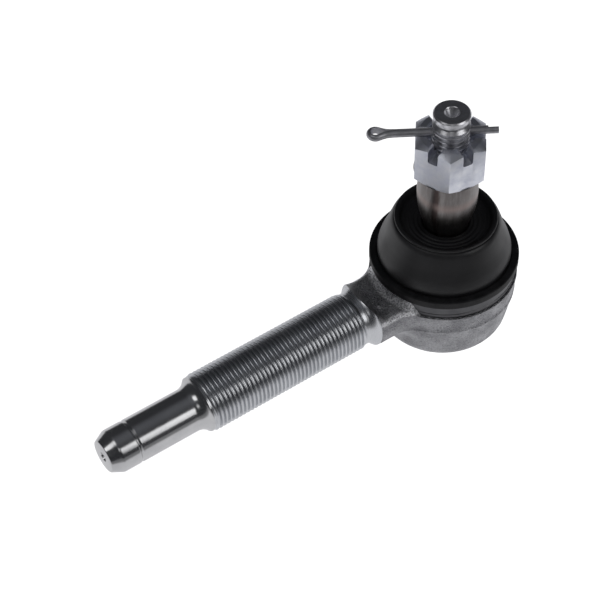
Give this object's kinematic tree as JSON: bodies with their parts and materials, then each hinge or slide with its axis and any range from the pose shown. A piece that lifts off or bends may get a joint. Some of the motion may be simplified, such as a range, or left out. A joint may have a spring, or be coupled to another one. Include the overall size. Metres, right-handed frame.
{
  "type": "tie rod end",
  "caption": "Steering ball joint: a ball stud in a forged eye with a rubber boot, a castle nut and split pin, on a shank with a male thread and a plain pilot.",
  "frame": {"origin": "the ball's centre, at the height of the shank's axis", "axes": "+Z along the stud towards its nut, with the shank lying along -X"},
  "size_m": [0.1587, 0.05, 0.0922],
  "materials": {
    "forging": "shot-blasted forging with turned and threaded steel",
    "machined_steel": "ground steel with brown heat tint",
    "zinc_steel": "bright zinc plate",
    "wire_steel": "dark drawn wire",
    "boot_rubber": "satin moulded rubber",
    "black_steel": "black coated",
    "seat_polymer": "natural acetal",
    "spring_steel": "blued spring steel",
    "cover_steel": "pressed sheet steel"
  },
  "bodies": {
    "housing": {"housing": "forging", "end_cover": "cover_steel", "upper_seat": "seat_polymer", "lower_seat": "seat_polymer", "seat_spring": "spring_steel", "boot_base_ring": "black_steel"},
    "boot": {"dust_boot": "boot_rubber"},
    "lip_ring": {"boot_lip_ring": "black_steel"},
    "stud": {"ball_stud": "machined_steel", "castle_nut": "zinc_steel", "split_pin": "wire_steel"}
  },
  "joints": [
    {"name": "swing_across", "type": "hinge", "parent": "housing", "child": "boot", "pos_m": [0, 0, 0], "axis": [1, 0, 0], "range_deg": [-18, 18], "deforming": ["dust_boot"]},
    {"name": "swing_along", "type": "hinge", "parent": "boot", "child": "lip_ring", "pos_m": [0, 0, 0], "axis": [0, 1, 0], "range_deg": [-18, 18], "deforming": ["dust_boot"]},
    {"name": "stud_spin", "type": "hinge", "parent": "lip_ring", "child": "stud", "pos_m": [0, 0, 0], "axis": [0, 0, 1], "continuous": true}
  ]
}
